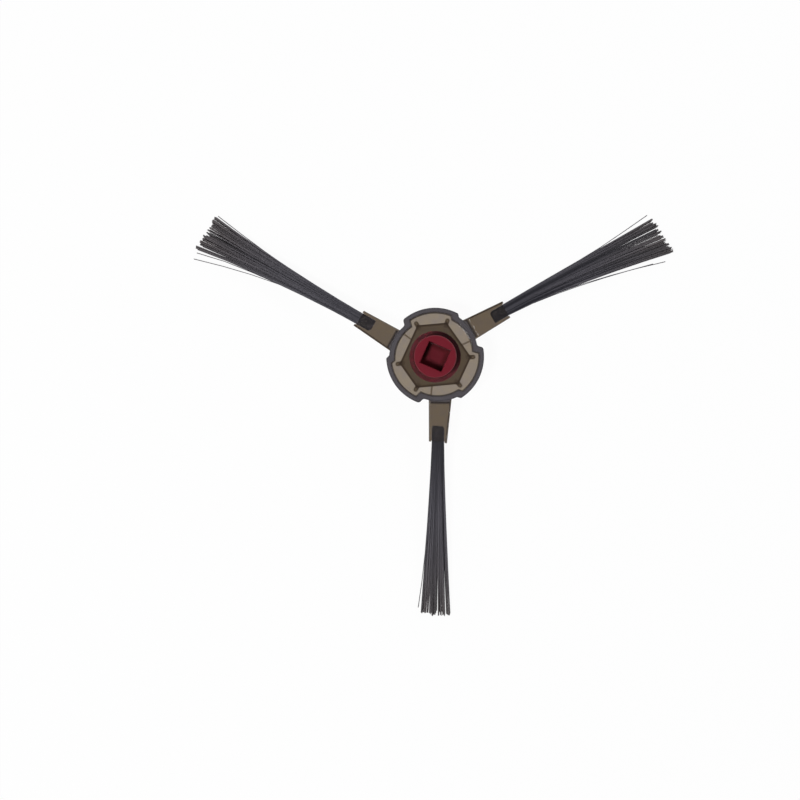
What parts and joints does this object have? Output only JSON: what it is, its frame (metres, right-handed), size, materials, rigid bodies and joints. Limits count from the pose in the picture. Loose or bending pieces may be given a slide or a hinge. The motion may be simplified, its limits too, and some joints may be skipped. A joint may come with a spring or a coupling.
{
  "type": "robot vacuum side brush",
  "caption": "Side brush for a robot vacuum: see-through skirted disc with a red square-socket hub and arms that hold fanned bristle tufts.",
  "frame": {"origin": "on the drive axis at the underside of the disc", "axes": "+Z along the drive axis, out of the hub's socket and towards the vacuum; seen from +Z one arm points towards -Y and the others 30 degrees above +X and -X"},
  "size_m": [0.1545, 0.1299, 0.0184],
  "materials": {
    "smoke_plastic": "smooth smoke-brown translucent moulding",
    "red_plastic": "smooth crimson moulding",
    "bristle": "charcoal nylon filaments"
  },
  "bodies": {
    "root": {"brush_base": "smoke_plastic", "drive_hub": "red_plastic", "tuft_right": "bristle", "tuft_left": "bristle", "tuft_lower": "bristle"}
  },
  "joints": []
}
